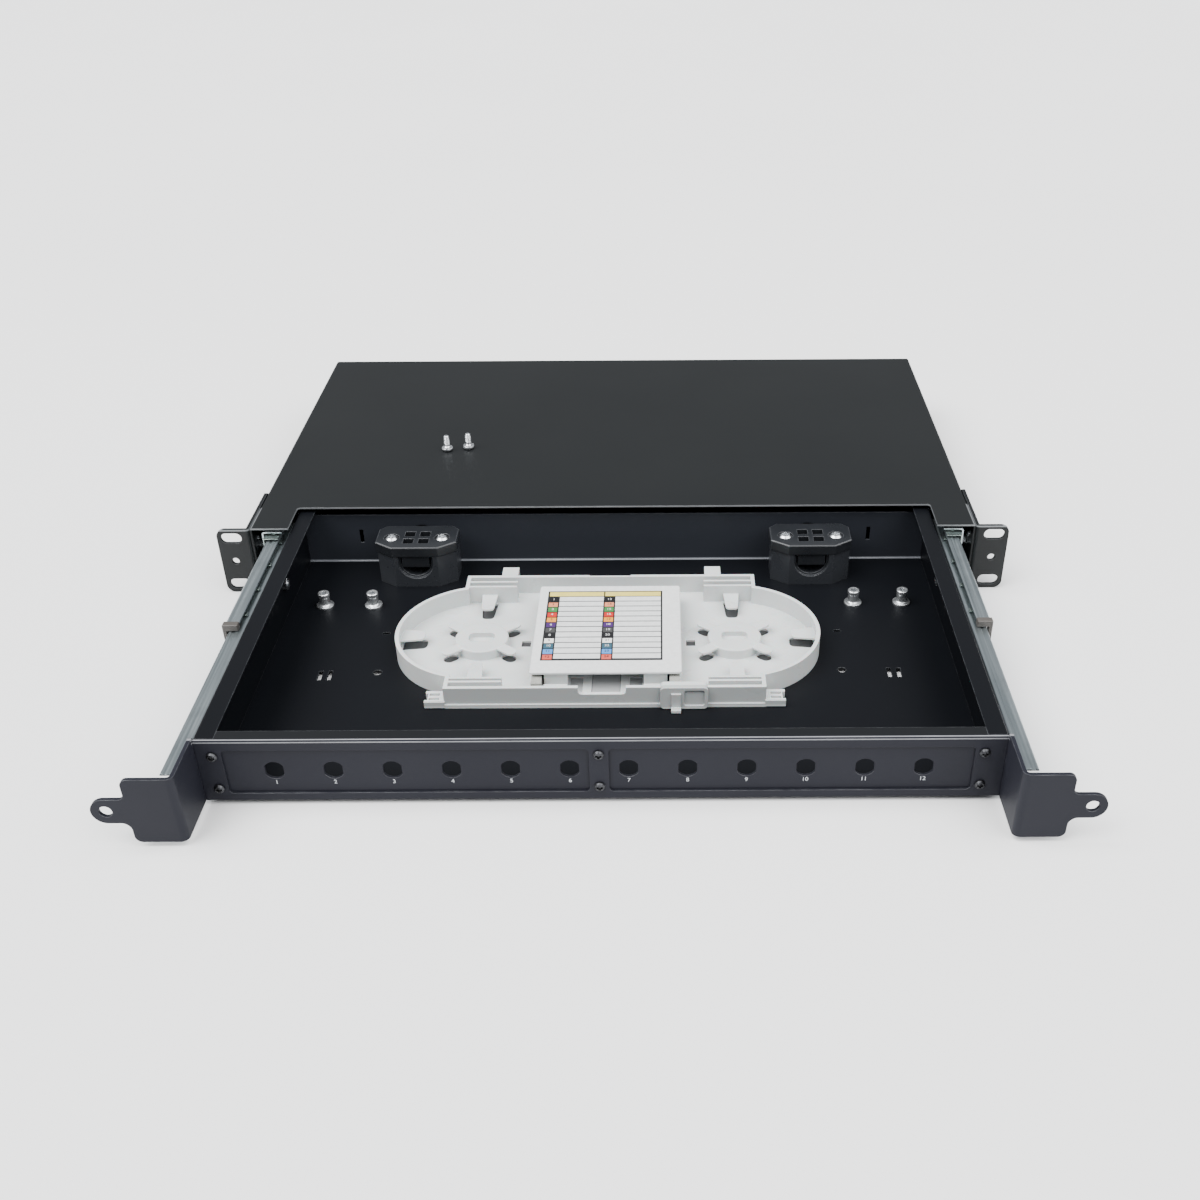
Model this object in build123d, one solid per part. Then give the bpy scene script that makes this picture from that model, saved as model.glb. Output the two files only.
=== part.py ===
from build123d import *
import math
import os

# Fibre optic patch panel: a one-unit rack case with a sliding drawer, drawn out.
# Millimetres. X across the rack, Y from the rack's front plane to the rear, Z up.
# The origin is the centre of the rack's mounting holes, on the front face of the case's ears.

# Case
unit_h = 43.6            # height of the case
rack_w = 482.6           # width over the rack ears
ear_out = 20.3           # how far the ears stand out of the case's sides
case_depth = 270.0       # from the rack ears' front face to the rear wall
case_front = 1.5         # the case's front edge, behind the ears' front face
sheet = 1.2              # sheet metal of the case and the drawer
bend_r = 1.8             # outside radius of the cover's long bends
notch_gap = 0.2          # the cut-out in the cover is this much wider than the drawer, each side
notch_d = 27.0
notch_r = 2.0
lip_gap = 0.6            # gap between the base's side lips and the ears' screws
gland_d = 20.5           # rear cable entries
gland_z = -1.0
fixing_d = 3.0
fixing_head = 5.4        # head width of the small screws

# Rack ears
slot_in = 8.75           # from an ear's outer edge to its column of holes
slot_end = 5.925         # from an ear's top and bottom edge to a slot's centre line
slot_l = 12.7
slot_w = 6.8
ear_t = 2.0
ear_bend = 2.0
ear_leg = 48.5
ear_corner = 5.0
lock_d = 4.5             # hole for the drawer's locking screw
ear_screw_z = 10.5
ear_screw_d = 4.0
ear_head = 7.0

# Drawer
drawer_gap = 2.4         # gap between the drawer's sides and the cover
drawer_lift = 0.8        # gap between the drawer's floor and the case's floor
open_by = 233.8          # how far the drawer is drawn out in the stored pose
ear_gap = 0.2            # gap between the two pairs of ears when closed
recess = 31.0            # the drawer's front lies this far behind its ears
back_gap = 1.3           # gap between the drawer's back wall and the case's rear wall when closed
side_flange = 10.0
front_flange = 7.5
back_drop = 4.0          # the back wall is this much lower than the sides
tie_slot_w = 2.4
tie_slot_h = 9.0
tie_slot_in = 35.1       # from the drawer's side to the tie slots
floor_slot_in = [38.3, 32.9]     # from the drawer's side to the pair of slots in the floor
floor_hole_in = 64.8     # to the round hole
floor_oval_in = 63.1     # to the oval hole
floor_slot_y = -27.0     # their places along the drawer, from the tray's centre line
floor_hole_y = -24.3
floor_oval_y = 16.5

# Drawer ears
d_ear_t = 2.0
d_ear_short = 2.8        # the drawer's ears are this much shorter than the case at top and bottom
d_ear_out = 25.0         # width of the ear's plate
d_ear_bend = 3.6
d_ear_leg = 66.0         # length of the leg along the drawer's side
d_ear_leg_h = 24.0
d_ear_corner = 3.6
lobe_r = 7.1
lobe_hole = 6.5
waist_r = 3.0
step_r = 4.6

# Front openings and adapter plate
window_gap = 9.8         # width of the strip between the two windows
window_side = 13.9       # from the drawer's side to a window
window_edge = 5.8        # height of the strips above and below the windows
window_r = 2.0
plate_t = 1.5
plate_in = 2.9           # gap between the plate's ends and the drawer's sides
plate_low = 2.0          # the plate is this much lower than the front, top and bottom
ports = 12
port_side = 23.9         # from a window's end to the first hole
port_d = 10.4
port_flat = 9.1
port_up = 0.2
pattern = (-1.3, -0.8)   # the windows, holes and screws sit this far off the front's middle, X and Z
front_low = 0.7          # the front's lower edge stands this far above the floor's underside
front_screw_in = 4.6     # from a window's end to its screws
front_screw_d = 3.0
front_head = 5.2

# Telescopic slides: three nested channels on each side, with caged balls between them
slide_up = 1.4           # centre height of the slides
slide_t = 1.0            # wall of the channels
slide_w = 14.5           # over all three channels
slide_edge = 3.8         # the outer channel is this much lower than the case, top and bottom
race_gap = 2.3           # space between two channels' flanges
race_bite = 0.15         # how far a ball sinks into each track
ball_fit = 0.3           # gap between a ball and its track
standoff = 6.0           # space between the case's wall and the outer channel
channel_gap = 0.65       # least space between channels and cages
outer_front = 1.0
mid_front = 20.9         # front ends with the drawer closed
inner_front = 10.0
slide_rear = 12.0        # from the case's rear to the channels' rear ends, when closed
stop_cut = 12.0          # relief in the front end of the middle channel's web
stop_slot_l = 60.0       # slot in the middle channel's web
stop_slot_w = 9.0
bumper_l = 4.0           # plastic bumper on the middle channel's front end
bumper_over = 0.7        # it stands this far out of the channel
bumper_fit = 0.4         # and clear of the inner channel
cage_t = 0.5
cage_clear = 0.25
cage_balls = 4
cage_pitch = 27.5
cage_end = 7.0
cage_reach = [4.4, 1.8]      # how far the outer and inner cages reach past their rows of balls
cage_shift = [26.8, 7.6]     # they sit this far ahead of the overlaps' middles
cage_tab = 2.2           # the inner cages' tabs beside each ball
cage_tab_l = 3.0
ball_hole_fit = 0.12
rivet_d = 4.0
rivet_end = 21.0         # from the outer channel's ends to its rivets
rivet_head_d = 7.0
rivet_head_t = 0.6
hole_fit = 0.1           # radial clearance of screws and rivets in their holes
standoff_d = 9.0
slide_screw_d = 4.0
slide_head = 7.4
slide_screw_out = 3.2    # the screw's end stands this far inside the drawer
slide_screw_front = 20.0     # from the drawer's front to the first screw
slide_screw_rear = 62.4      # from the drawer's back wall to the second screw
washer_d = 9.5

# Cable clamps
clamp_place = 0.622      # place of the clamps, as a share of the drawer's half width
clamp_back = 5.4         # gap between a clamp and the back wall
clamp_w = 48.4
clamp_d = 28.0
clamp_facet = 10.8       # width of the front corners' cuts
clamp_cut = 7.5          # their depth
clamp_body_h = 21.4
clamp_cover_t = 6.4
clamp_over = 0.8
clamp_bore = 18.4
clamp_floor = 7.4        # thickness of the clamp under its cable channel
clamp_rim = 1.4
clamp_rim_d = 1.6
tongue_fit = 0.8
tongue_h = 7.6
tongue_in = 0.6          # the tongue's face is this far behind the clamp's front
clamp_screw_in = 8.6     # from a clamp's side to its screw
clamp_screw_y = 13.0
clamp_screw_d = 3.6
clamp_head = 7.6
clamp_head_h = 2.5
clamp_sink = 1.5         # depth of the recesses round the heads
clamp_sink_gap = 0.9     # and their room round the heads
clamp_screw_l = 12.0     # how deep the screws go into the lower half
pocket_w = 6.4
pocket_d = 6.0
pocket_x = 4.7
pocket_y = 4.5
pocket_deep = 9.0
back_hole_d = 18.0

# Splice tray
tray_place = 0.372       # centre of the round ends, as a share of the drawer's half width
tray_off = 1.4           # the tray sits this far left of the middle
tray_back = 8.5          # gap between the tray and the clamps
tray_r = 49.0
tray_wall = 2.2
tray_floor = 1.5
tray_h = 12.8
tray_mid = 14.5          # the straight walls reach this far past the round ends' centres
tray_rear = 61.0         # rear wall's outer face, from the centre line
tray_front = 58.5
tray_ledge = 2.4
rail_len = 31.0
rail_t = 1.6
rail_rear = 54.5
rail_front = 52.6
hub_r = 15.5
hub_h = 6.4
hub_wall = 1.6
hub_slot_w = 15.0
hub_slot_l = 9.0
hub_slot_deep = 3.4
hub_tab_w = 6.5
hub_tab_l = 9.0
tab_t = 1.2
tab_up = 4.6             # height of the tabs' undersides above the tray's floor
rear_tab_w = 9.4
rear_tab_l = 17.0
front_tab_l = 22.0
side_tab_w = 12.0
side_tab_l = 14.0
side_tab_y = 3.2
hook_w = 9.8
hook_l = 13.5
hook_in = 20.2           # from a straight wall's end to the hook behind it
clip_w = 10.2
clip_l = 10.6
clip_h = 4.0
dip_x = -1.5             # dip in the middle of the front wall
dip_w = 26.0
dip_h = 4.4
cover_w = 84.0
cover_l = 91.8
cover_back = 13.0        # from the tray's rear face to the label cover
cover_t = 1.4
comb_in = 8.0            # from the cover's side to a comb
comb_w = 13.0
comb_teeth = 13
comb_h = 8.0
comb_out = 6.0           # the combs and pads reach this far out in front of the cover
pad_w = 5.6
latch_x = 30.0           # from the tray's middle to the latch
latch_w = 26.0
latch_t = 1.8
latch_r = 2.6
tray_screw_d = 2.8

# Screws and posts
pan_h = 1.9
post_in = [20.6, 50.1]   # from the drawer's side to the posts
post_gap = 21.7          # from the clamps' front to the posts
post_foot = 5.3
post_neck = 3.2
post_collar = 3.5
post_hole = 1.6
post_h = 9.3
lock_screws = [(-114.5, 110.5), (-100.5, 113.5)]
lock_screw_d = 3.4
lock_head_d = 7.6
lock_len = 10.7

# Derived places of the case
top = unit_h / 2
bot = -top
half = rack_w / 2 - ear_out
inner_half = half - sheet
hole_x = rack_w / 2 - slot_in
slot_z = top - slot_end
lip_top = -ear_screw_z - ear_screw_d / 2 - lip_gap
ear_screw_y = [ear_leg * share for share in (0.25, 0.56, 0.87)]

# Derived places of the slides
slide_back = inner_half - standoff
leg_out = slide_back - slide_w
mid_in = slide_t + rivet_head_t + cage_clear + cage_t + channel_gap
mid_back = slide_back - mid_in
outer_depth = slide_w - 2.1
mid_depth = slide_w - slide_t - mid_in - 2.5
inner_depth = slide_w - mid_in - slide_t - cage_clear - cage_t - channel_gap - 0.2
outer_track = mid_back - 3.6         # x of the outer and inner ball rows
inner_track = mid_back - 5.4
slide_end = case_depth - slide_rear
mid_y = [mid_front - open_by / 2, slide_end - open_by / 2]
inner_y = [inner_front - open_by, slide_end + 2.0 - open_by]
ball_r = race_gap / 2 + race_bite

# Derived places of the drawer
d_half = leg_out - d_ear_t
d_in = d_half - sheet
d_bot = bot + sheet + drawer_lift
d_top = top - sheet - drawer_gap
d_floor = d_bot + sheet
d_mid = (d_bot + d_top) / 2
ear_face = -ear_gap - d_ear_t - open_by
front_y = ear_face + recess
front_in = front_y + sheet
plate_y = front_in + plate_t
back_out = case_depth - sheet - back_gap - open_by
back_in = back_out - sheet
window_end = d_half - window_side
window_h = d_top - d_bot - 2 * window_edge
front_screw_x = window_end + front_screw_in
front_screw_z = window_h / 2 - 3.3
port_pitch = 2 * (window_end - port_side) / (ports - 1)
slide_screw_y = [front_y + slide_screw_front, back_in - slide_screw_rear]
leg_screw_y = front_y + 9.5
leg_screw_z = [slide_up - 7.5, slide_up + 7.5]

# Derived places of the clamps, the posts and the tray
clamp_x = d_in * clamp_place
clamp_y0 = back_in - clamp_d - clamp_back
clamp_top = d_floor + clamp_body_h
clamp_screw_x = clamp_w / 2 - clamp_screw_in
cable_z = d_floor + clamp_floor + clamp_bore / 2
post_x = [d_in - gap for gap in post_in]
post_y = clamp_y0 - post_gap
tray_y = clamp_y0 - tray_back - tray_rear
tray_end_x = d_in * tray_place
tray_mid_x = tray_end_x + tray_mid
rail_x = tray_mid_x - rail_len
tray_top = d_floor + tray_h
tray_in = d_floor + tray_floor
cover_y1 = tray_y + tray_rear - cover_back
cover_y0 = cover_y1 - cover_l
cover_z = tray_top - cover_t


def block(x0, x1, y0, y1, z0, z1):
    """A box between two corners."""
    centre = ((x0 + x1) / 2, (y0 + y1) / 2, (z0 + z1) / 2)
    return Pos(*centre) * Box(abs(x1 - x0), abs(y1 - y0), abs(z1 - z0))


def rod(direction, r, a, b, u, v):
    """A cylinder along an axis from a to b, at the two other coordinates in X, Y, Z order."""
    length = abs(b - a)
    mid = (a + b) / 2
    if direction == "X":
        return Pos(mid, u, v) * Rot(0, 90, 0) * Cylinder(r, length)
    if direction == "Y":
        return Pos(u, mid, v) * Rot(90, 0, 0) * Cylinder(r, length)
    return Pos(u, v, mid) * Cylinder(r, length)


def group(shapes):
    """One node made of separate solids."""
    return Compound(children=[solid for shape in shapes for solid in shape.solids()])


def mirrored(shape):
    """The shape's mirror image on the other side of the panel."""
    return group([solid.mirror(Plane.YZ) for solid in shape.solids()])


def both(shape):
    """The shape and its mirror image."""
    return shape.solids() + mirrored(shape).solids()


def plan(sketch, z0, z1):
    """A sketch in the plan view, raised from z0 to z1."""
    return extrude(Pos(0, 0, z0) * sketch, z1 - z0)


def front_view(sketch, y0, y1):
    """A sketch drawn as X and Z, made solid from y0 back to y1."""
    face = Plane(origin=(0, y1, 0), x_dir=(1, 0, 0), z_dir=(0, -1, 0)) * sketch
    return extrude(face, y1 - y0)


def side_view(sketch, x0, x1):
    """A sketch drawn as Y and Z, made solid from x0 to x1."""
    face = Plane(origin=(x0, 0, 0), x_dir=(0, 1, 0), z_dir=(1, 0, 0)) * sketch
    return extrude(face, x1 - x0)


def turned(points):
    """A solid of revolution about Z from (radius, height) points."""
    return revolve(Plane.XZ * make_face(Polyline(*points, close=True)), Axis.Z)


def pan_screw(d, head_d, head_h, length):
    """A pan-head screw: its seat is at z = 0 and its shank points down."""
    r = head_d / 2
    points = [(0, -length), (d / 2, -length), (d / 2, 0), (r, 0), (r, head_h * 0.45),
              (r * 0.72, head_h * 0.9), (r * 0.3, head_h), (0, head_h)]
    recess_w = head_d * 0.12
    recess_l = head_d * 0.3
    cross = block(-recess_w, recess_w, -recess_l, recess_l, head_h * 0.35, head_h + 1)
    return turned(points) - cross - Rot(0, 0, 90) * cross


# Case

def cover_fixings():
    """Screw places that hold the cover's sides to the base's lips: (y, z)."""
    z = (bot + sheet + lip_top) / 2
    return [(y, z) for y in (ear_leg + 13.5, case_depth * 0.56, case_depth - 14.0)]


def rivet_places():
    """Y of the rivets that hold an outer channel."""
    return [outer_front + rivet_end, (outer_front + slide_end) / 2, slide_end - rivet_end]


def case_cover():
    """Top and both sides, bent from one sheet, with the cut-out over the adapters."""
    body = block(-half, half, case_front, case_depth, bot, top)
    body -= block(-inner_half, inner_half, case_front - 1, case_depth + 1, bot - 1, top - sheet)
    bends = body.edges().filter_by(Axis.Y).group_by(Axis.Z)[-1]
    body = fillet(bends, bend_r)
    cut = Rectangle(2 * (d_half + notch_gap), 2 * notch_d)
    cut = fillet(cut.vertices(), notch_r)
    body -= plan(Pos(0, case_front) * cut, top - 2 * sheet, top + 1)
    for y, z in cover_fixings():
        body -= rod("X", fixing_d / 2 + hole_fit, -half - 1, half + 1, y, z)
    for y in ear_screw_y:
        for z in (-ear_screw_z, ear_screw_z):
            body -= rod("X", ear_screw_d / 2 + hole_fit, -half - 1, half + 1, y, z)
    for y in rivet_places():
        body -= rod("X", rivet_d / 2 + hole_fit, -half - 1, half + 1, y, slide_up)
    return body


def case_base():
    """Floor, side lips and rear wall with its two cable entries."""
    body = block(-inner_half, inner_half, case_front, case_depth, bot, bot + sheet)
    body += block(-inner_half, inner_half, case_depth - sheet, case_depth, bot, top - sheet)
    lip = block(inner_half - sheet, inner_half, case_front + 3, case_depth, bot, lip_top)
    for piece in both(lip):
        body += piece
    for x in (-clamp_x, clamp_x):
        body -= rod("Y", gland_d / 2, case_depth - sheet - 1, case_depth + 1, x, gland_z)
    for y, z in cover_fixings():
        body -= rod("X", fixing_d / 2 + hole_fit, -half - 1, half + 1, y, z)
    return body


def rack_ear():
    """Right-hand mounting ear: a slotted plate with a leg along the case's side."""
    plate = block(half, rack_w / 2, 0, ear_t, bot, top)
    corners = plate.edges().filter_by(Axis.Y).group_by(Axis.X)[-1]
    plate = fillet(corners, ear_corner)
    leg = block(half, half + ear_t, 0, ear_leg + case_front, bot, top)
    leg = fillet(leg.edges().filter_by(Axis.X).group_by(Axis.Y)[-1], 2.0)
    body = plate + leg
    pick = lambda e: abs(e.center().X - half) < 0.01 and abs(e.center().Y) < 0.01
    body = fillet(body.edges().filter_by(Axis.Z).filter_by(pick), ear_bend)
    slot = SlotOverall(slot_l, slot_w)
    for z in (-slot_z, slot_z):
        body -= front_view(Pos(hole_x, z) * slot, -1, ear_t + 1)
    body -= rod("Y", lock_d / 2, -1, ear_t + 1, hole_x, 0)
    for y in ear_screw_y:
        for z in (-ear_screw_z, ear_screw_z):
            body -= rod("X", ear_screw_d / 2 + hole_fit, half - 1, half + ear_t + 1, y, z)
    return body


def ear_screws():
    """Screws through each ear's leg into the case's wall."""
    screw = pan_screw(ear_screw_d, ear_head, pan_h, ear_t + sheet + 0.8)
    out = []
    for y in ear_screw_y:
        for z in (-ear_screw_z, ear_screw_z):
            out += both(Pos(half + ear_t, y, z) * Rot(0, 90, 0) * screw)
    return group(out)


def cover_screws():
    """Screws through the cover's sides into the base's lips."""
    screw = pan_screw(fixing_d, fixing_head, pan_h - 0.5, 2 * sheet + 0.8)
    out = []
    for y, z in cover_fixings():
        out += both(Pos(half, y, z) * Rot(0, 90, 0) * screw)
    return group(out)


def locking_screws():
    """The two loose screws that lock the drawer's ears, standing on the cover on their heads."""
    r = lock_head_d / 2
    shank = lock_screw_d / 2
    points = [(0, 0), (r * 0.62, 0), (r * 0.92, 0.7), (r, 1.7), (r * 0.94, 2.3), (shank + 0.5, 2.8),
              (shank, 3.4), (shank, lock_len - 0.7), (shank * 0.7, lock_len), (0, lock_len)]
    screw = turned(points)
    return group([Pos(x, y, top) * screw for x, y in lock_screws])


# Telescopic slides, drawn for the right-hand side

def flange_z(step):
    """Outer face of a channel's flange above the slide's centre: 0 outer, 1 middle, 2 inner."""
    return top - slide_edge - step * (slide_t + race_gap)


def channel(back, depth, height, y0, y1, opens):
    """A channel with its web at x = back; opens is -1 towards the drawer, 1 towards the case."""
    far = back + opens * depth
    web_in = back + opens * slide_t
    body = block(back, far, y0, y1, slide_up - height, slide_up + height)
    body -= block(web_in, far + opens, y0 - 1, y1 + 1, slide_up - height + slide_t,
                  slide_up + height - slide_t)
    for x, radius in ((back, slide_t * 1.6), (far, slide_t * 0.6)):
        pick = lambda e: abs(e.center().X - x) < 0.01 and abs(abs(e.center().Z - slide_up) - height) < 0.01
        body = fillet(body.edges().filter_by(Axis.Y).filter_by(pick), radius)
    return body


def tracks(step, x, y0, y1):
    """Ball tracks between channel number step and the next one in."""
    z = flange_z(step) - slide_t - race_gap / 2
    r = ball_r + ball_fit
    return [rod("Y", r, y0 - 1, y1 + 1, x, slide_up + s * z) for s in (-1, 1)]


def slide_outer():
    """Outer channel, fixed to the case on spacers."""
    body = channel(slide_back, outer_depth, flange_z(0), outer_front, slide_end, -1)
    for cut in tracks(0, outer_track, outer_front, slide_end):
        body -= cut
    for y in rivet_places():
        body -= rod("X", rivet_d / 2 + hole_fit, slide_back - slide_t - 1, slide_back + 1, y, slide_up)
    return body


def slide_middle():
    """Middle channel; its web is cut back at the front between the two ball tracks."""
    body = channel(mid_back, mid_depth, flange_z(1), mid_y[0], mid_y[1], -1)
    for cut in tracks(0, outer_track, mid_y[0], mid_y[1]) + tracks(1, inner_track, mid_y[0], mid_y[1]):
        body -= cut
    relief = Pos(mid_y[0], slide_up) * Rectangle(2 * stop_cut, 2 * flange_z(1) - 14.0)
    relief = fillet(relief.vertices(), 4.0)
    body -= side_view(relief, mid_back - slide_t - 0.5, mid_back + 1)
    slot = Pos((mid_y[0] + mid_y[1]) / 2, slide_up) * SlotOverall(stop_slot_l, stop_slot_w)
    body -= side_view(slot, mid_back - slide_t - 0.5, mid_back + 1)
    return body


def slide_bumper():
    """Plastic bumper on the middle channel's front end, open where the inner channel runs."""
    x0 = mid_back - mid_depth
    x1 = mid_back + bumper_over
    y1 = mid_y[0]
    y0 = y1 - bumper_l
    high = flange_z(1) + bumper_over
    low = flange_z(2) + bumper_fit
    body = block(x0, x1, y0, y1, slide_up - high, slide_up + high)
    body = fillet(body.edges().filter_by(Axis.Y), 0.7)
    body = chamfer(body.faces().sort_by(Axis.Y)[0].edges(), 0.4)
    return body - block(x0 - 1, mid_back - slide_t - bumper_fit, y0 - 1, y1 + 1, slide_up - low, slide_up + low)


def slide_inner():
    """Inner channel, screwed to the drawer's side with the drawer ear's leg between them."""
    body = channel(leg_out, inner_depth, flange_z(2), inner_y[0], inner_y[1], 1)
    for cut in tracks(1, inner_track, inner_y[0], inner_y[1]):
        body -= cut
    for y in slide_screw_y:
        body -= rod("X", slide_screw_d / 2 + hole_fit, leg_out - 1, leg_out + slide_t + 1, y, slide_up)
    return body


def cage(step, x, web_x, middle):
    """Ball cage between two channels: a thin channel with a hole for each ball, and its balls.

    The inner cage also has a tab beside each ball, seen in the gap along the middle channel's edge.
    """
    z = flange_z(step) - slide_t - race_gap / 2
    places = [middle + (i - (cage_balls - 1) / 2) * cage_pitch for i in range(cage_balls)]
    y0 = places[0] - cage_end
    y1 = places[-1] + cage_end
    reach = x - cage_reach[step]
    high = z + cage_t / 2
    body = block(reach, web_x, y0, y1, slide_up - high, slide_up + high)
    body -= block(reach - 1, web_x - cage_t, y0 - 1, y1 + 1, slide_up - high + cage_t, slide_up + high - cage_t)
    solids = []
    for y in places:
        for s in (-1, 1):
            zc = slide_up + s * z
            if step:
                z0, z1 = sorted((slide_up + s * (high - cage_t), slide_up + s * high))
                body += block(reach - cage_tab, reach + 0.5, y - cage_tab_l / 2, y + cage_tab_l / 2, z0, z1)
            body -= rod("Z", ball_r + ball_hole_fit, zc - 1, zc + 1, x, y)
            solids.append(Pos(x, y, zc) * Sphere(ball_r))
    return group([body] + solids)


def cage_outer():
    """Cage between the outer and the middle channel, clear of the rivets' heads."""
    middle = (outer_front + mid_y[1]) / 2 - cage_shift[0]
    return cage(0, outer_track, slide_back - slide_t - rivet_head_t - cage_clear, middle)


def cage_inner():
    """Cage between the middle and the inner channel."""
    middle = (mid_y[0] + inner_y[1]) / 2 - cage_shift[1]
    return cage(1, inner_track, mid_back - slide_t - cage_clear, middle)


def slide_fixings():
    """Spacers between the case's wall and the outer channel, and the rivets through them."""
    ring = Cylinder(standoff_d / 2, standoff) - Cylinder(rivet_d / 2 + hole_fit, standoff + 1)
    r = rivet_head_d / 2
    head = turned([(0, 0), (r, 0), (r - 0.4, rivet_head_t), (0, rivet_head_t)])
    length = slide_t + standoff + sheet
    rivet = head + Pos(0, 0, -length / 2) * Cylinder(rivet_d / 2, length)
    rings = []
    rivets = []
    for y in rivet_places():
        rings += both(Pos(slide_back + standoff / 2, y, slide_up) * Rot(0, 90, 0) * ring)
        rivets += both(Pos(slide_back - slide_t, y, slide_up) * Rot(0, -90, 0) * rivet)
    return group(rings), group(rivets)


def drawer_fixings():
    """Screws through the inner channel into the drawer's side, their nuts and spacing washers."""
    r = slide_screw_d / 2
    screw = pan_screw(slide_screw_d, slide_head, pan_h, slide_t + d_ear_t + sheet + slide_screw_out)
    nut = extrude(RegularPolygon(0.53 * slide_head, 6), slide_screw_out - 0.6) - Cylinder(r, 3 * slide_screw_out)
    washer = Cylinder(washer_d / 2, d_ear_t) - Cylinder(r + hole_fit, d_ear_t + 1)
    screws = []
    nuts = []
    for y in slide_screw_y:
        screws += both(Pos(leg_out + slide_t, y, slide_up) * Rot(0, 90, 0) * screw)
        nuts += both(Pos(d_in, y, slide_up) * Rot(0, -90, 0) * nut)
    washers = both(Pos(d_half + d_ear_t / 2, slide_screw_y[1], slide_up) * Rot(0, 90, 0) * washer)
    return group(screws), group(nuts), group(washers)


# Drawer

def drawer_side():
    """Right-hand side of the drawer with its top flange turned inwards."""
    body = block(d_in, d_half, front_in, back_out, d_bot, d_top)
    body += block(d_half - side_flange, d_half, front_in, back_out, d_top - sheet, d_top)
    pick = lambda e: abs(e.center().X - d_half) < 0.01 and abs(e.center().Z - d_top) < 0.01
    body = fillet(body.edges().filter_by(Axis.Y).filter_by(pick), sheet * 0.9)
    for y in slide_screw_y:
        body -= rod("X", slide_screw_d / 2 + hole_fit, d_in - 1, d_half + 1, y, slide_up)
    for z in leg_screw_z:
        body -= rod("X", fixing_d / 2 + hole_fit, d_in - 1, d_half + 1, leg_screw_y, z)
    return body


def floor_slots(sx):
    """Cable-tie slots and small holes in the drawer's floor on one side of the middle."""
    slots = []
    for gap in floor_slot_in:
        slots.append(Pos(sx * (d_in - gap), tray_y + floor_slot_y) * Rectangle(tie_slot_w, tie_slot_h))
    slots.append(Pos(sx * (d_in - floor_hole_in), tray_y + floor_hole_y) * Circle(2.5))
    slots.append(Pos(sx * (d_in - floor_oval_in), tray_y + floor_oval_y) * SlotOverall(4.4, 2.2))
    return slots


def drawer_floor():
    """Floor and back wall of the drawer, bent from one sheet."""
    body = block(-d_in, d_in, front_in, back_out, d_bot, d_floor)
    body += block(-d_in, d_in, back_in, back_out, d_bot, d_top - back_drop)
    pick = lambda e: abs(e.center().Y - back_in) < 0.01 and abs(e.center().Z - d_floor) < 0.01
    body = fillet(body.edges().filter_by(Axis.X).filter_by(pick), 0.8)
    low = d_mid - tie_slot_h / 2
    high = d_mid + tie_slot_h / 2
    for sx in (-1, 1):
        for slot in floor_slots(sx):
            body -= plan(slot, d_bot - 1, d_floor + 1)
        x = sx * (d_in - tie_slot_in)
        body -= block(x - tie_slot_w / 2, x + tie_slot_w / 2, back_in - 1, back_out + 1, low, high)
        body -= rod("Y", back_hole_d / 2, back_in - 1, back_out + 1, sx * clamp_x, cable_z)
        for x in post_x:
            body -= rod("Z", fixing_d / 2 + hole_fit, d_bot - 1, d_floor + 1, sx * x, post_y)
    for x, y in tray_screw_places():
        body -= rod("Z", tray_screw_d / 2 + hole_fit, d_bot - 1, d_floor + 1, x, y)
    return body


def front_screw_places():
    """X and Z of the six screws in the drawer's front."""
    return [(x + pattern[0], d_mid + z + pattern[1])
            for x in (-front_screw_x, 0, front_screw_x) for z in (-front_screw_z, front_screw_z)]


def drawer_front():
    """Front wall with two long windows and a flange along its top."""
    wall = block(-d_half, d_half, front_y, front_in, d_bot + front_low, d_top)
    flange_x = d_half - side_flange
    wall += block(-flange_x, flange_x, front_y, front_y + front_flange, d_top - sheet, d_top)
    pick = lambda e: abs(e.center().Y - front_y) < 0.01 and abs(e.center().Z - d_top) < 0.01
    wall = fillet(wall.edges().filter_by(Axis.X).filter_by(pick), sheet * 0.8)
    width = window_end - window_gap / 2
    hole = Rectangle(width, window_h)
    hole = fillet(hole.vertices(), window_r)
    for sx in (-1, 1):
        place = Pos(sx * (window_gap / 2 + width / 2) + pattern[0], d_mid + pattern[1])
        wall -= front_view(place * hole, front_y - 1, front_in + 1)
    for x, z in front_screw_places():
        wall -= rod("Y", front_screw_d / 2 + hole_fit, front_y - 1, front_in + 1, x, z)
    return wall


def adapter_plate():
    """Plate behind the windows with a row of holes that have two flat sides."""
    x = d_in - plate_in
    body = block(-x, x, front_in, plate_y, d_bot + plate_low, d_top - plate_low)
    hole = Circle(port_d / 2) & Rectangle(port_flat, port_d + 1)
    for i in range(ports):
        place = Pos((i - (ports - 1) / 2) * port_pitch + pattern[0], d_mid + port_up + pattern[1])
        body -= front_view(place * hole, front_in - 1, plate_y + 1)
    for x, z in front_screw_places():
        body -= rod("Y", front_screw_d / 2 + hole_fit, front_in - 1, plate_y + 1, x, z)
    return body


def front_screws():
    """Screws that hold the adapter plate from the front."""
    screw = pan_screw(front_screw_d, front_head, pan_h, sheet + plate_t + 1.6)
    return group([Pos(x, front_y, z) * Rot(90, 0, 0) * screw for x, z in front_screw_places()])


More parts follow.
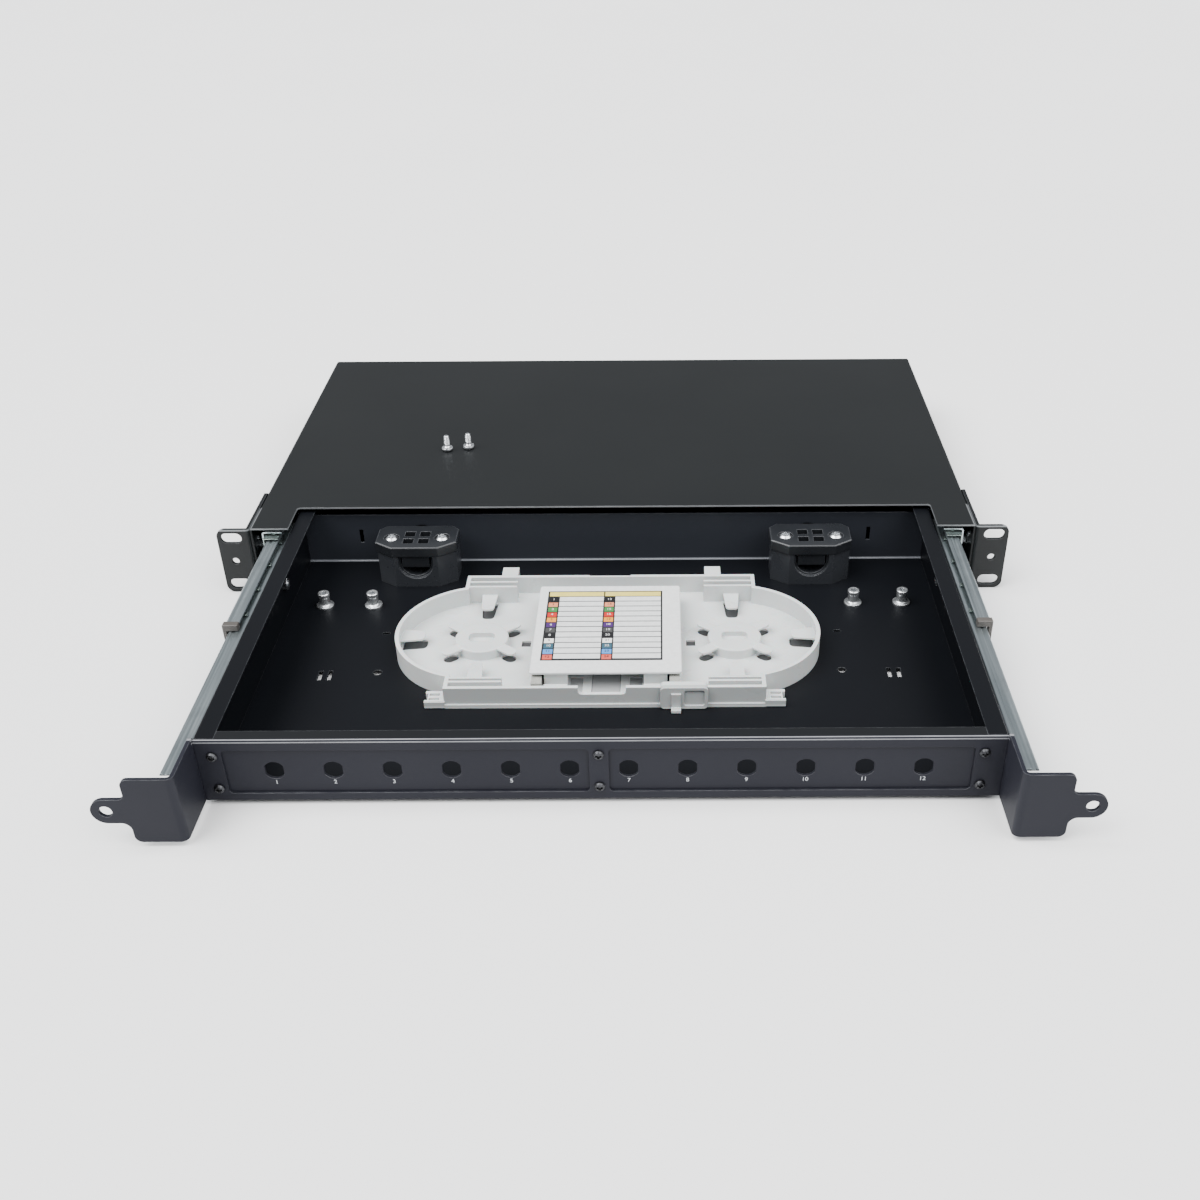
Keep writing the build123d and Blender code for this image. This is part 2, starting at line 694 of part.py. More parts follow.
def drawer_ear():
    """Right-hand ear of the drawer: a plate with a round lobe, and a leg along the drawer's side."""
    x0 = d_half
    x1 = x0 + d_ear_out
    height = 2 * (top - d_ear_short)
    plate = Pos((x0 + x1) / 2, 0) * Rectangle(x1 - x0, height)
    plate = fillet(plate.vertices().group_by(Axis.X)[-1], d_ear_corner)
    neck = Pos((x1 + hole_x) / 2 - 2, 0) * Rectangle(hole_x - x1 + 4, 2 * lobe_r)
    shape = plate + neck + Pos(hole_x, 0) * Circle(lobe_r) - Pos(hole_x, 0) * Circle(lobe_hole / 2)
    body = front_view(shape, ear_face, ear_face + d_ear_t)
    for sign, radius in ((1, waist_r), (-1, step_r)):
        pick = lambda e: abs(e.center().X - x1) < 0.01 and abs(e.center().Z - sign * lobe_r) < 0.01
        body = fillet(body.edges().filter_by(Axis.Y).filter_by(pick), radius)
    body += drawer_ear_leg(height / 2)
    for x, y, radius in ((x0, ear_face, d_ear_bend), (leg_out, ear_face + d_ear_t, d_ear_bend - d_ear_t)):
        pick = lambda e: abs(e.center().X - x) < 0.01 and abs(e.center().Y - y) < 0.01
        body = fillet(body.edges().filter_by(Axis.Z).filter_by(pick), radius)
    body -= rod("X", slide_screw_d / 2 + hole_fit, d_half - 1, leg_out + 1, slide_screw_y[0], slide_up)
    for z in leg_screw_z:
        body -= rod("X", fixing_d / 2 + hole_fit, d_half - 1, leg_out + 1, leg_screw_y, z)
    return body


def drawer_ear_leg(high):
    """The leg: full height ahead of the drawer, lower where it runs beside the slide."""
    end = ear_face + d_ear_leg
    z0 = slide_up - d_ear_leg_h / 2
    z1 = slide_up + d_ear_leg_h / 2
    step = front_y + 1
    slope = front_y + 6
    points = [(ear_face, -high), (step, -high), (slope, z0), (end, z0), (end, z1), (slope, z1), (step, high),
              (ear_face, high)]
    outline = make_face(Polyline(*points, close=True))
    ends = outline.vertices().filter_by(lambda v: abs(v.X - end) < 0.01)
    return side_view(fillet(ends, 3.0), d_half, leg_out)


def leg_screws():
    """Small screws from inside the drawer into each ear's leg."""
    screw = pan_screw(fixing_d, fixing_head, pan_h - 0.4, sheet + d_ear_t)
    out = []
    for z in leg_screw_z:
        out += both(Pos(d_in, leg_screw_y, z) * Rot(0, -90, 0) * screw)
    return group(out)


def anchor_posts():
    """Hollow posts on the floor for strength members, with a wide flange at the foot and a collar."""
    z = d_floor
    r = fixing_d / 2
    foot = post_foot
    neck = post_neck
    collar = post_collar
    rim = z + post_h
    points = [(0, z - sheet), (r, z - sheet), (r, z), (foot, z), (foot, z + 1.0), (neck + 0.4, z + 1.6),
              (neck, z + 2.0), (neck, rim - 2.9), (collar, rim - 2.4), (collar, rim - 0.4), (collar - 0.4, rim),
              (post_hole, rim), (post_hole, rim - post_h / 2), (0, rim - post_h / 2)]
    post = turned(points)
    out = []
    for x in post_x:
        out += both(Pos(x, post_y, 0) * post)
    return group(out)


# Cable clamps, drawn for the right-hand side

def octagon(grow):
    """Plan of the clamp, a block with its corners cut off, drawn round its middle."""
    w = clamp_w / 2 + grow
    d = clamp_d / 2 + min(grow, 0.3)
    a = w - clamp_facet
    c = clamp_cut
    back = c * 0.6
    points = [(-a, -d), (a, -d), (w, c - d), (w, d - back), (w - back, d), (back - w, d), (-w, d - back),
              (-w, c - d)]
    return Pos(clamp_x, clamp_y0 + clamp_d / 2) * make_face(Polyline(*points, close=True))


def channel_cut(r, y0, y1):
    """Round-bottomed channel for the cable, open at the top."""
    return rod("Y", r, y0, y1, clamp_x, cable_z) + block(clamp_x - r, clamp_x + r, y0, y1, cable_z, clamp_top + 1)


def clamp_body():
    """Lower half of the clamp with its cable channel."""
    body = plan(octagon(0), d_floor, clamp_top)
    body -= channel_cut(clamp_bore / 2, clamp_y0 - 1, clamp_y0 + clamp_d + 1)
    body -= channel_cut(clamp_bore / 2 + clamp_rim, clamp_y0 - 1, clamp_y0 + clamp_rim_d)
    r = clamp_screw_d / 2 + hole_fit
    for sx in (-1, 1):
        place = (clamp_x + sx * clamp_screw_x, clamp_y0 + clamp_screw_y)
        body -= rod("Z", r, clamp_top - clamp_screw_l - 2, clamp_top + 1, *place)
    return body


def clamp_cover():
    """Upper half: an overhanging lid whose tongue presses on the cable, with four pockets."""
    z1 = clamp_top + clamp_cover_t
    body = plan(octagon(clamp_over), clamp_top, z1)
    body = chamfer(body.edges().group_by(Axis.Z)[-1], 0.5)
    w = clamp_bore / 2 - tongue_fit
    body += block(clamp_x - w, clamp_x + w, clamp_y0 + tongue_in, clamp_y0 + clamp_d - 1.0,
                  clamp_top - tongue_h, clamp_top + 0.5)
    r = clamp_screw_d / 2 + 0.3
    for sx in (-1, 1):
        place = (clamp_x + sx * clamp_screw_x, clamp_y0 + clamp_screw_y)
        body -= rod("Z", r, clamp_top - 1, z1 + 1, *place)
        body -= rod("Z", clamp_head / 2 + clamp_sink_gap, z1 - clamp_sink, z1 + 1, *place)
        for sy in (-1, 1):
            x = clamp_x + sx * pocket_x
            y = clamp_y0 + clamp_screw_y + sy * pocket_y
            body -= block(x - pocket_w / 2, x + pocket_w / 2, y - pocket_d / 2, y + pocket_d / 2,
                          z1 - pocket_deep, z1 + 1)
    return body


def clamp_screws():
    """Two screws for each clamp."""
    length = clamp_cover_t - clamp_sink + clamp_screw_l
    z = clamp_top + clamp_cover_t - clamp_sink
    screw = pan_screw(clamp_screw_d, clamp_head, clamp_head_h, length)
    out = []
    for sx in (-1, 1):
        place = Pos(clamp_x + sx * clamp_screw_x, clamp_y0 + clamp_screw_y, z)
        out += both(place * screw)
    return group(out)


# Splice tray, drawn round its own middle and then moved to its place

def oval(grow):
    """Plan of the tray's oval, grown or shrunk by a distance."""
    return SlotOverall(2 * (tray_end_x + tray_r + grow), 2 * (tray_r + grow))


def middle_plan(grow):
    """Plan of the wider middle part of the tray."""
    y0 = -tray_front - grow
    y1 = tray_rear + grow
    return Pos(0, (y0 + y1) / 2) * Rectangle(2 * (tray_mid_x + grow), y1 - y0)


def tray_rails():
    """Straight guide walls along the front and the rear of the tray's ends."""
    rails = []
    for sx in (-1, 1):
        a = sx * rail_x
        b = sx * (tray_mid_x - 0.5)
        for y in (rail_rear, tray_r, -tray_r, -rail_front):
            rails.append(block(a, b, y - math.copysign(rail_t, y), y, d_floor + 0.5, tray_top))
    return rails


def hub():
    """Winding hub of the right-hand end with four tabs, and the openings under them."""
    x = tray_end_x
    z1 = tray_in + hub_h
    shell = Pos(x, 0, tray_in + hub_h / 2 - 0.2) * Cylinder(hub_r, hub_h)
    slot = Pos(x, 0) * Rectangle(hub_slot_w, hub_slot_l)
    slot = fillet(slot.vertices(), 3.0)
    under = rod("Z", hub_r - hub_wall, d_floor - 1, z1 - hub_wall, x, 0)
    cup = Pos(x, 0) * Rectangle(hub_slot_w + 2 * hub_wall, hub_slot_l + 2 * hub_wall)
    cup = fillet(cup.vertices(), 3.0 + hub_wall)
    adds = [fillet(shell.edges().group_by(Axis.Z)[-1], 1.0)]
    cuts = [plan(slot, z1 - hub_slot_deep, z1 + 1), under - plan(cup, z1 - hub_slot_deep - hub_wall, z1)]
    for angle in (38, 142, 218, 322):
        turn = Pos(x, 0, 0) * Rot(0, 0, angle)
        reach = hub_r + hub_tab_l
        tab = Pos((hub_r + reach) / 2 - 2, 0) * SlotOverall(reach - hub_r + 7, hub_tab_w)
        adds.append(turn * plan(tab, tray_in + tab_up, tray_in + tab_up + tab_t))
        hole = Pos((hub_r + reach) / 2 + 1.0, 0) * SlotOverall(reach - hub_r, hub_tab_w)
        cuts.append(turn * plan(hole, d_floor - 1, tray_in + 1))
    return adds, cuts


def rim_tabs():
    """Tabs that reach in from the right-hand end's rim, with an opening in the floor under each."""
    adds = []
    cuts = []
    z0 = tray_in + tab_up
    x = tray_end_x
    rear = tray_r - rail_t + 0.3
    mid = Pos(x, rear - rear_tab_l / 2)
    adds.append(plan(mid * tongue(rear_tab_w, rear_tab_l, -90), z0, z0 + tab_t))
    cuts.append(plan(mid * Pos(0, -1.5) * tongue(rear_tab_w, rear_tab_l, -90), d_floor - 1, tray_in + 1))
    mid = Pos(x, -rear + front_tab_l / 2)
    adds.append(plan(mid * tongue(rear_tab_w, front_tab_l, 90), z0, z0 + tab_t))
    mid = Pos(x + tray_r - tray_wall - side_tab_l / 2 + 0.3, side_tab_y)
    adds.append(plan(mid * tongue(side_tab_w, side_tab_l, 180), z0, z0 + tab_t))
    cuts.append(plan(mid * Pos(-1.0, -1.0) * tongue(side_tab_w, side_tab_l, 180), d_floor - 1, tray_in + 1))
    return adds, cuts


def tongue(width, length, angle):
    """Plan of a tapered tab with a rounded tip, pointing along an angle."""
    a = length / 2
    w = width / 2
    shape = make_face(Polyline((-a, -w), (a, -w * 0.72), (a, w * 0.72), (-a, w), close=True))
    shape = fillet(shape.vertices().group_by(Axis.X)[-1], w * 0.5)
    return Rot(0, 0, angle) * shape


def rear_hook():
    """Right-hand hook behind the tray that takes a second tray's hinge."""
    y = tray_rear
    x = tray_mid_x - hook_in - hook_w / 2
    out = [block(x - hook_w / 2, x + hook_w / 2, y - 0.5, y + hook_l, tray_top - 4.0, tray_top - 2.2)]
    out.append(block(x - hook_w / 2, x + hook_w / 2, y + hook_l - 1.8, y + hook_l, tray_in, tray_top - 2.2))
    return out


def hinge_knuckle():
    """H-shaped hinge knuckle at the right-hand front corner of the tray."""
    x = tray_mid_x + 0.6 + clip_w / 2
    y0 = -tray_front - 1.0
    y1 = y0 + clip_l
    z0 = d_floor + 0.4
    body = block(x - clip_w / 2 - 1.0, x + clip_w / 2, y0, y1, z0, z0 + clip_h)
    for y in (y0 + 2.2, y1 - 4.4):
        body -= block(x - clip_w / 2 + 2.2, x + clip_w / 2 - 2.2, y, y + 2.2, z0 + clip_h / 2, z0 + clip_h + 1)
    body -= block(x + clip_w / 2 - 1.6, x + clip_w / 2 + 1, y0 + 2.2, y1 - 2.2, z0 - 1, z0 + clip_h + 1)
    return body


def middle_openings():
    """Openings in the tray's floor in front of the label cover and beside it: x0, x1, y0, y1."""
    front = -tray_front
    side = hub_slot_w + 30.0
    return [(-20.0, -13.0, front + 6, front + 26), (-8.0, 8.0, front + 4.5, front + 34),
            (13.0, 20.0, front + 6, front + 26), (-side - 5.4, -side, -1.0, 5.0), (side, side + 5.4, -1.0, 5.0)]


def to_tray(shape):
    """Moves a piece from the tray's own middle to its place in the drawer."""
    return Pos(-tray_off, tray_y, 0) * shape


def tray_screw_places():
    """Screws under the label cover that hold the tray to the drawer's floor."""
    return [(-tray_off, tray_y - 10.0), (-tray_off, tray_y + 25.0)]


def splice_tray():
    """Moulded cassette with oval ends, guide rails, winding hubs and tabs."""
    outer = oval(0) + middle_plan(0)
    inside = oval(-tray_wall) + middle_plan(-tray_wall)
    body = plan(outer, d_floor, tray_top) - plan(inside, tray_in, tray_top + 1)
    front = -tray_front
    body += block(-tray_mid_x, tray_mid_x, front - 0.9, front + 0.5, d_floor, d_floor + tray_ledge)
    cuts = [block(-13.0, 12.0, tray_rear - 0.9, tray_rear + 1, tray_top - 2.5, tray_top + 1)]
    dip = Pos(dip_x, tray_top) * Rectangle(dip_w, 2 * dip_h)
    dip = fillet(dip.vertices(), dip_h / 2)
    cuts.append(front_view(dip, front - 1.5, front + tray_wall + 0.5))
    adds = tray_rails()
    for more, holes in (hub(), rim_tabs(), (rear_hook() + [hinge_knuckle()], [])):
        adds += more + [mirrored(piece) for piece in more]
        cuts += holes + [mirrored(hole) for hole in holes]
    for piece in adds:
        body += piece
    for x0, x1, y0, y1 in middle_openings():
        cuts.append(block(x0, x1, y0, y1, d_floor - 1, tray_in + 1))
    for x, y in tray_screw_places():
        cuts.append(rod("Z", tray_screw_d / 2 + hole_fit, d_floor - 1, tray_in + 1, x + tray_off, y - tray_y))
    for cut in cuts:
        body -= cut
    return to_tray(body)


def splice_holder():
    """Two combs for the splice sleeves, which also carry the label cover."""
    solids = []
    y0 = cover_y0 - comb_out
    y1 = cover_y1 - 3.0
    pitch = (y1 - y0) / comb_teeth
    for x0 in (-cover_w / 2 + comb_in, cover_w / 2 - comb_in - comb_w):
        body = block(x0 - tray_off, x0 - tray_off + comb_w, y0, y1, tray_in, tray_in + 1.2)
        for i in range(comb_teeth):
            y = y0 + i * pitch
            tall = cover_z - tray_in if i in (1, comb_teeth - 1) else comb_h - (2.6 if i == 0 else 0)
            body += block(x0 - tray_off, x0 - tray_off + comb_w, y, y + pitch * 0.45, tray_in + 0.6,
                          tray_in + tall)
        solids.append(body)
    return group(solids)


def splice_pads():
    """Foam strips outside the combs."""
    gap = (comb_in - pad_w) / 2
    out = []
    for x0 in (-cover_w / 2 + gap, cover_w / 2 - gap - pad_w):
        x = x0 - tray_off
        out.append(block(x, x + pad_w, cover_y0 - comb_out, cover_y1 - 2.5, tray_in, tray_in + comb_h))
    return group(out)


def splice_cover():
    """Snap-on cover that carries the fibre colour label."""
    shape = Pos(-tray_off, (cover_y0 + cover_y1) / 2) * Rectangle(cover_w, cover_l)
    shape = fillet(shape.vertices(), 1.5)
    body = plan(shape, cover_z, tray_top)
    return chamfer(body.edges().group_by(Axis.Z)[-1], 0.4)


def tray_latch():
    """Latch that hooks over the tray's front wall, with a panel set back and a thumb tab at its foot."""
    y = -tray_front - 0.9
    face = y - latch_t
    z0 = d_floor + 0.3
    z1 = tray_top + 0.2
    high = z1 + 1.2
    rear = y + tray_wall + 0.9
    outline = [(face, z0), (y, z0), (y, z1), (rear, z1), (rear, z1 - 3.0), (rear + 1.2, z1 - 3.0),
               (rear + 1.2, high), (face, high)]
    body = side_view(make_face(Polyline(*outline, close=True)), latch_x, latch_x + latch_w)
    x = latch_x + latch_w / 2
    front = Pos(x, (z0 + high) / 2) * Rectangle(latch_w, high - z0)
    front = fillet(front.vertices(), latch_r)
    body = body & front_view(front, face - 1, rear + 2)
    panel = Pos(x + latch_w / 4 - 1, (z0 + high) / 2) * Rectangle(latch_w / 2 - 2, high - z0 - 4)
    body -= front_view(fillet(panel.vertices(), latch_r / 2), face - 1, face + latch_t / 2)
    foot = block(latch_x + 6, latch_x + 11.2, face - 4.2, face + 0.5, z0, z0 + 1.7)
    rib = block(latch_x + 6, latch_x + 11.2, face - 0.9, face + 0.5, z0, z1 - 2.5)
    return to_tray(body + foot + rib)


def tray_screws():
    """Screws through the tray's floor into the drawer's floor."""
    screw = pan_screw(tray_screw_d, 5.4, 1.6, tray_floor + sheet)
    return group([Pos(x, y, tray_in) * screw for x, y in tray_screw_places()])


def build():
    """Every node's solid under its file name."""
    spacers, rivets = slide_fixings()
    slide_bolts, slide_nuts, slide_washers = drawer_fixings()
    nodes = {
        "case_cover": case_cover(),
        "case_base": case_base(),
        "ear_screws": ear_screws(),
        "cover_screws": cover_screws(),
        "locking_screws": locking_screws(),
        "slide_spacers": spacers,
        "slide_rivets": rivets,
        "slide_screws": slide_bolts,
        "slide_nuts": slide_nuts,
        "slide_washers": slide_washers,
        "drawer_floor": drawer_floor(),
        "drawer_front": drawer_front(),
        "adapter_plate": adapter_plate(),
        "front_screws": front_screws(),
        "leg_screws": leg_screws(),
        "anchor_posts": anchor_posts(),
        "clamp_screws": clamp_screws(),
        "splice_tray": splice_tray(),
        "splice_holder": splice_holder(),
        "splice_pads": splice_pads(),
        "splice_cover": splice_cover(),
        "tray_latch": tray_latch(),
        "tray_screws": tray_screws(),
    }
    paired = {
        "rack_ear": rack_ear(),
        "slide_outer": slide_outer(),
        "slide_middle": slide_middle(),
        "slide_bumper": slide_bumper(),
        "slide_inner": slide_inner(),
        "ball_cage_outer": cage_outer(),
        "ball_cage_inner": cage_inner(),
        "drawer_side": drawer_side(),
        "drawer_ear": drawer_ear(),
        "clamp_body": clamp_body(),
        "clamp_cover": clamp_cover(),
    }
    for name, shape in paired.items():
        nodes[name + "_right"] = shape
        nodes[name + "_left"] = mirrored(shape)
    return nodes


os.makedirs("parts", exist_ok=True)
for node_name, node_shape in build().items():
    export_step(node_shape, "parts/" + node_name + ".step")
    print(node_name, round(node_shape.volume), "mm3")
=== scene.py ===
import math

import bmesh
import bpy
from mathutils import Matrix, Vector


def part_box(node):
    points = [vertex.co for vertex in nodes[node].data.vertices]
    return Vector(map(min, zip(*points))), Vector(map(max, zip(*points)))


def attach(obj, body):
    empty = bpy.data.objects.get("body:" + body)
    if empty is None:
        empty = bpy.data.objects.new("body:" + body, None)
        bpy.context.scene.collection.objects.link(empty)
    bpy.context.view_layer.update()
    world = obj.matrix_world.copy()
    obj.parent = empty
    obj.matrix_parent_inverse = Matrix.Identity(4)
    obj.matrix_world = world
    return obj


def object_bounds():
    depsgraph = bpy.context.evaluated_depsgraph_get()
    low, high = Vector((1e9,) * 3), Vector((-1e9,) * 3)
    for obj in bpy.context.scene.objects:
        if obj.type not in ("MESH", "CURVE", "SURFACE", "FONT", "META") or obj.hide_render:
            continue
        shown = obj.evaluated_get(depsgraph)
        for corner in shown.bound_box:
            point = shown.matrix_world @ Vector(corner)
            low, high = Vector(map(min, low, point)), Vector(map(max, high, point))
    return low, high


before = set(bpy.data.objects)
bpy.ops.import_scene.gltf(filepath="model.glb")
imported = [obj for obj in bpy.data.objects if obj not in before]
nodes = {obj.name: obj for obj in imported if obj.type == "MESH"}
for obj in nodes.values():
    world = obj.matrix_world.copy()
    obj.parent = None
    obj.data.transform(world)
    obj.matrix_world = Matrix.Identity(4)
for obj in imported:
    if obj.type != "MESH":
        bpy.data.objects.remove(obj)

# Looks of a sliding fibre optic patch panel. Metres, in the CAD frame.

cad_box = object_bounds()
MM = 0.001

# Camera, solved from the photograph's 1200-pixel frame

FRAME_PX = 1200
FOCAL_PX = 1335
CENTRE_PX = (665.4, 674.0)       # where the optical axis meets the picture
SENSOR_MM = 36.0
CAMERA_AT = (0.0312, -0.7164, 0.4102)
NEAR_CLIP = 0.01
PITCH_DOWN = math.radians(34.73)
YAW = math.radians(0.03)
ROLL = math.radians(-0.31)


def make_camera():
    """The photograph's camera."""
    ahead = Vector((math.sin(YAW) * math.cos(PITCH_DOWN), math.cos(YAW) * math.cos(PITCH_DOWN),
                    -math.sin(PITCH_DOWN)))
    right = Vector((math.cos(YAW), -math.sin(YAW), 0))
    up = right.cross(ahead)
    side = math.cos(ROLL) * right + math.sin(ROLL) * up
    above = -math.sin(ROLL) * right + math.cos(ROLL) * up
    turn = Matrix((side, above, -ahead)).transposed()
    data = bpy.data.cameras.new("camera")
    data.sensor_width = SENSOR_MM
    data.lens = FOCAL_PX / FRAME_PX * SENSOR_MM
    data.shift_x = (FRAME_PX / 2 - CENTRE_PX[0]) / FRAME_PX
    data.shift_y = (CENTRE_PX[1] - FRAME_PX / 2) / FRAME_PX
    data.clip_start = NEAR_CLIP
    camera = bpy.data.objects.new("camera", data)
    camera.matrix_world = Matrix.Translation(CAMERA_AT) @ turn.to_4x4()
    bpy.context.collection.objects.link(camera)
    bpy.context.scene.camera = camera


# Materials

MIX_FIRST, MIX_SECOND, MIX_RESULT = 6, 7, 2      # a mix node's sockets for colours


class Tree:
    """A material's node tree, with short ways to add and join nodes."""

    def __init__(self, name):
        self.material = bpy.data.materials.new(name)
        self.material.use_nodes = True
        self.tree = self.material.node_tree
        self.shader = self.tree.nodes["Principled BSDF"]
        self.place = self.add("ShaderNodeTexCoord").outputs["Object"]

    def add(self, kind, **values):
        """A new node; values are its settings."""
        node = self.tree.nodes.new(kind)
        for key, value in values.items():
            setattr(node, key, value)
        return node

    def join(self, output, socket):
        """Links an output to a socket."""
        self.tree.links.new(output, socket)

    def scaled(self, size):
        """Object coordinates stretched by a size for each axis."""
        mapping = self.add("ShaderNodeMapping")
        mapping.inputs["Scale"].default_value = size
        self.join(self.place, mapping.inputs["Vector"])
        return mapping.outputs["Vector"]

    def noise(self, scale, detail=3.0, vector=None):
        """Noise, with its scale in waves to the metre; most of it lies between 0.3 and 0.7."""
        node = self.add("ShaderNodeTexNoise")
        node.inputs["Scale"].default_value = scale
        node.inputs["Detail"].default_value = detail
        self.join(vector or self.place, node.inputs["Vector"])
        return node.outputs["Fac"]

    def spread(self, value, low, high, start=0.3, end=0.7):
        """Maps start..end of a value to low..high."""
        node = self.add("ShaderNodeMapRange")
        for name, number in (("From Min", start), ("From Max", end),
                             ("To Min", low), ("To Max", high)):
            node.inputs[name].default_value = number
        self.join(value, node.inputs["Value"])
        return node.outputs["Result"]

    def mix(self, factor, first, second):
        """Mixes two colours; each is a colour or an output."""
        node = self.add("ShaderNodeMix", data_type="RGBA")
        self.join(factor, node.inputs["Factor"])
        for place, colour in ((MIX_FIRST, first), (MIX_SECOND, second)):
            if isinstance(colour, tuple):
                node.inputs[place].default_value = (*colour, 1)
            else:
                self.join(colour, node.inputs[place])
        return node.outputs[MIX_RESULT]

    def calc(self, operation, first, second):
        """What an operation makes of two values."""
        node = self.add("ShaderNodeMath", operation=operation)
        self.join(first, node.inputs[0])
        self.join(second, node.inputs[1])
        return node.outputs["Value"]

    def soft_edges(self, radius):
        """A normal that rounds edges, and how strongly a point lies on an upper edge, 0 to 1."""
        bevel = self.add("ShaderNodeBevel", samples=4)
        bevel.inputs["Radius"].default_value = radius
        flat = self.add("ShaderNodeNewGeometry")
        dot = self.add("ShaderNodeVectorMath", operation="DOT_PRODUCT")
        self.join(bevel.outputs["Normal"], dot.inputs[0])
        self.join(flat.outputs["Normal"], dot.inputs[1])
        up = self.add("ShaderNodeSeparateXYZ")
        self.join(bevel.outputs["Normal"], up.inputs["Vector"])
        turned = self.spread(dot.outputs["Value"], 0, 1, start=0.995, end=0.85)
        raised = self.spread(up.outputs["Z"], 0, 1, start=0.05, end=0.40)
        return bevel.outputs["Normal"], self.calc("MULTIPLY", turned, raised)

    def zone(self, y0, y1, z0, z1):
        """1 between two depths and two heights, 0 elsewhere."""
        axes = self.add("ShaderNodeSeparateXYZ")
        self.join(self.place, axes.inputs["Vector"])
        soft = 0.1 * MM
        bands = []
        for axis, low, high in (("Y", y0, y1), ("Z", z0, z1)):
            value = axes.outputs[axis]
            bands.append(self.calc("MULTIPLY", self.spread(value, 0, 1, low - soft, low + soft),
                                   self.spread(value, 1, 0, high - soft, high + soft)))
        return self.calc("MULTIPLY", *bands)

    def tinted(self, colour, part):
        """A colour with another one in a zone; part is that zone and its colour, or None."""
        return self.mix(self.zone(*part[0]), colour, part[1]) if part else colour

    def bump(self, height, distance, strength, normal):
        """Bump from a height, on top of a normal."""
        node = self.add("ShaderNodeBump")
        node.inputs["Strength"].default_value = strength
        node.inputs["Distance"].default_value = distance
        self.join(height, node.inputs["Height"])
        self.join(normal, node.inputs["Normal"])
        self.join(node.outputs["Normal"], self.shader.inputs["Normal"])

    def finish(self, colour, roughness, **fixed):
        """Sets the shader: linked colour and roughness, and plain values."""
        self.join(colour, self.shader.inputs["Base Color"])
        self.join(roughness, self.shader.inputs["Roughness"])
        for name, value in fixed.items():
            self.shader.inputs[name.replace("_", " ")].default_value = value
        return self.material


def powder_coat(name, dark, light, edge_highlight, rough, shine, gleam, glint_zones, part=None):
    """Fine-grained black powder coat, with a painted highlight along its upper edges.

    dark and light are its cloudy colours, edge_highlight that of a painted highlight on upper
    edges, and shine its specular level.
    glint_zones are zones of painted highlight lines, glossier, along bends and cut edges, and gleam
    is their colour.
    part is a zone with a colour of its own, painted light on the drawer's coat and painted shade on
    the front's, and that colour.
    """
    t = Tree(name)
    normal, edge = t.soft_edges(0.6 * MM)
    cloud = t.spread(t.noise(11, 4), 0, 1)
    smear = t.noise(16, 3)
    colour = t.tinted(t.mix(cloud, dark, light), part)
    # Painted highlight along upper edges, broken up by noise, and glossier there.
    upper_edge_glint = t.calc("MULTIPLY", edge, t.spread(t.noise(160, 4), 0.15, 0.9))
    colour = t.mix(upper_edge_glint, colour, edge_highlight)
    # Painted highlight lines in the glint zones, along bends and cut edges.
    line = t.zone(*glint_zones[0])
    for glint_band in glint_zones[1:]:
        line = t.calc("MAXIMUM", line, t.zone(*glint_band))
    line = t.calc("MULTIPLY", line, t.spread(t.noise(60, 3), 0.75, 1.0))
    colour = t.mix(line, colour, gleam)
    gloss = t.spread(t.calc("MAXIMUM", upper_edge_glint, line), shine, 0.9, 0, 1)
    t.join(gloss, t.shader.inputs["Specular IOR Level"])
    t.bump(t.noise(1500, 3), 0.12 * MM, 0.35, normal)
    return t.finish(colour, t.spread(smear, rough - 0.025, rough + 0.03))


def rolled_zinc(name, dark, light, rough, streak, metal=1.0):
    """Zinc-plated steel with faint marks and duller stains.

    streak is the number of marks to the metre along each axis: few along Y make rolling lines.
    """
    t = Tree(name)
    normal = t.soft_edges(0.3 * MM)[0]
    marks = t.noise(1.0, 6, t.scaled(streak))
    stain = t.noise(45, 4)
    colour = t.mix(t.spread(marks, 0, 1, 0.25, 0.75), dark, light)
    dull = tuple(v * 0.72 for v in dark)
    colour = t.mix(t.spread(stain, 0, 0.55, 0.5, 0.75), colour, dull)
    t.bump(marks, 0.04 * MM, 0.25, normal)
    return t.finish(colour, t.spread(marks, rough - 0.07, rough + 0.08), Metallic=metal)


def moulded(name, dark, light, rim_highlight, rough, radius, grain, skin=0.0, part=None):
    """Injection-moulded plastic with a faint cloud of flow marks and a painted highlight on upper
    edges.

    rim_highlight is the colour of that painted highlight and radius the edges' rounding, grain the
    bump's waves to the metre and skin the weight of light below the surface. part is a zone with a
    colour of its own, used for painted shade, and that colour.
    """
    t = Tree(name)
    normal, edge = t.soft_edges(radius)
    colour = t.tinted(t.mix(t.spread(t.noise(26, 4), 0, 1), dark, light), part)
    # Painted highlight on upper edges.
    colour = t.mix(edge, colour, rim_highlight)
    gloss = t.noise(90, 4)
    t.bump(t.noise(grain, 2), 0.05 * MM, 0.22, normal)
    return t.finish(colour, t.spread(gloss, rough - 0.05, rough + 0.07), Subsurface_Weight=skin,
                    Subsurface_Scale=1.2 * MM)


def foam_strip(name, dark, light):
    """Open-cell foam."""
    t = Tree(name)
    cells = t.add("ShaderNodeTexVoronoi")
    cells.inputs["Scale"].default_value = 1400
    t.join(t.place, cells.inputs["Vector"])
    normal = t.add("ShaderNodeNewGeometry").outputs["Normal"]
    colour = t.mix(t.spread(cells.outputs["Distance"], 0, 1, 0.0, 0.6), dark, light)
    t.bump(cells.outputs["Distance"], 0.3 * MM, 0.7, normal)
    return t.finish(colour, t.spread(t.noise(60), 0.85, 0.97))


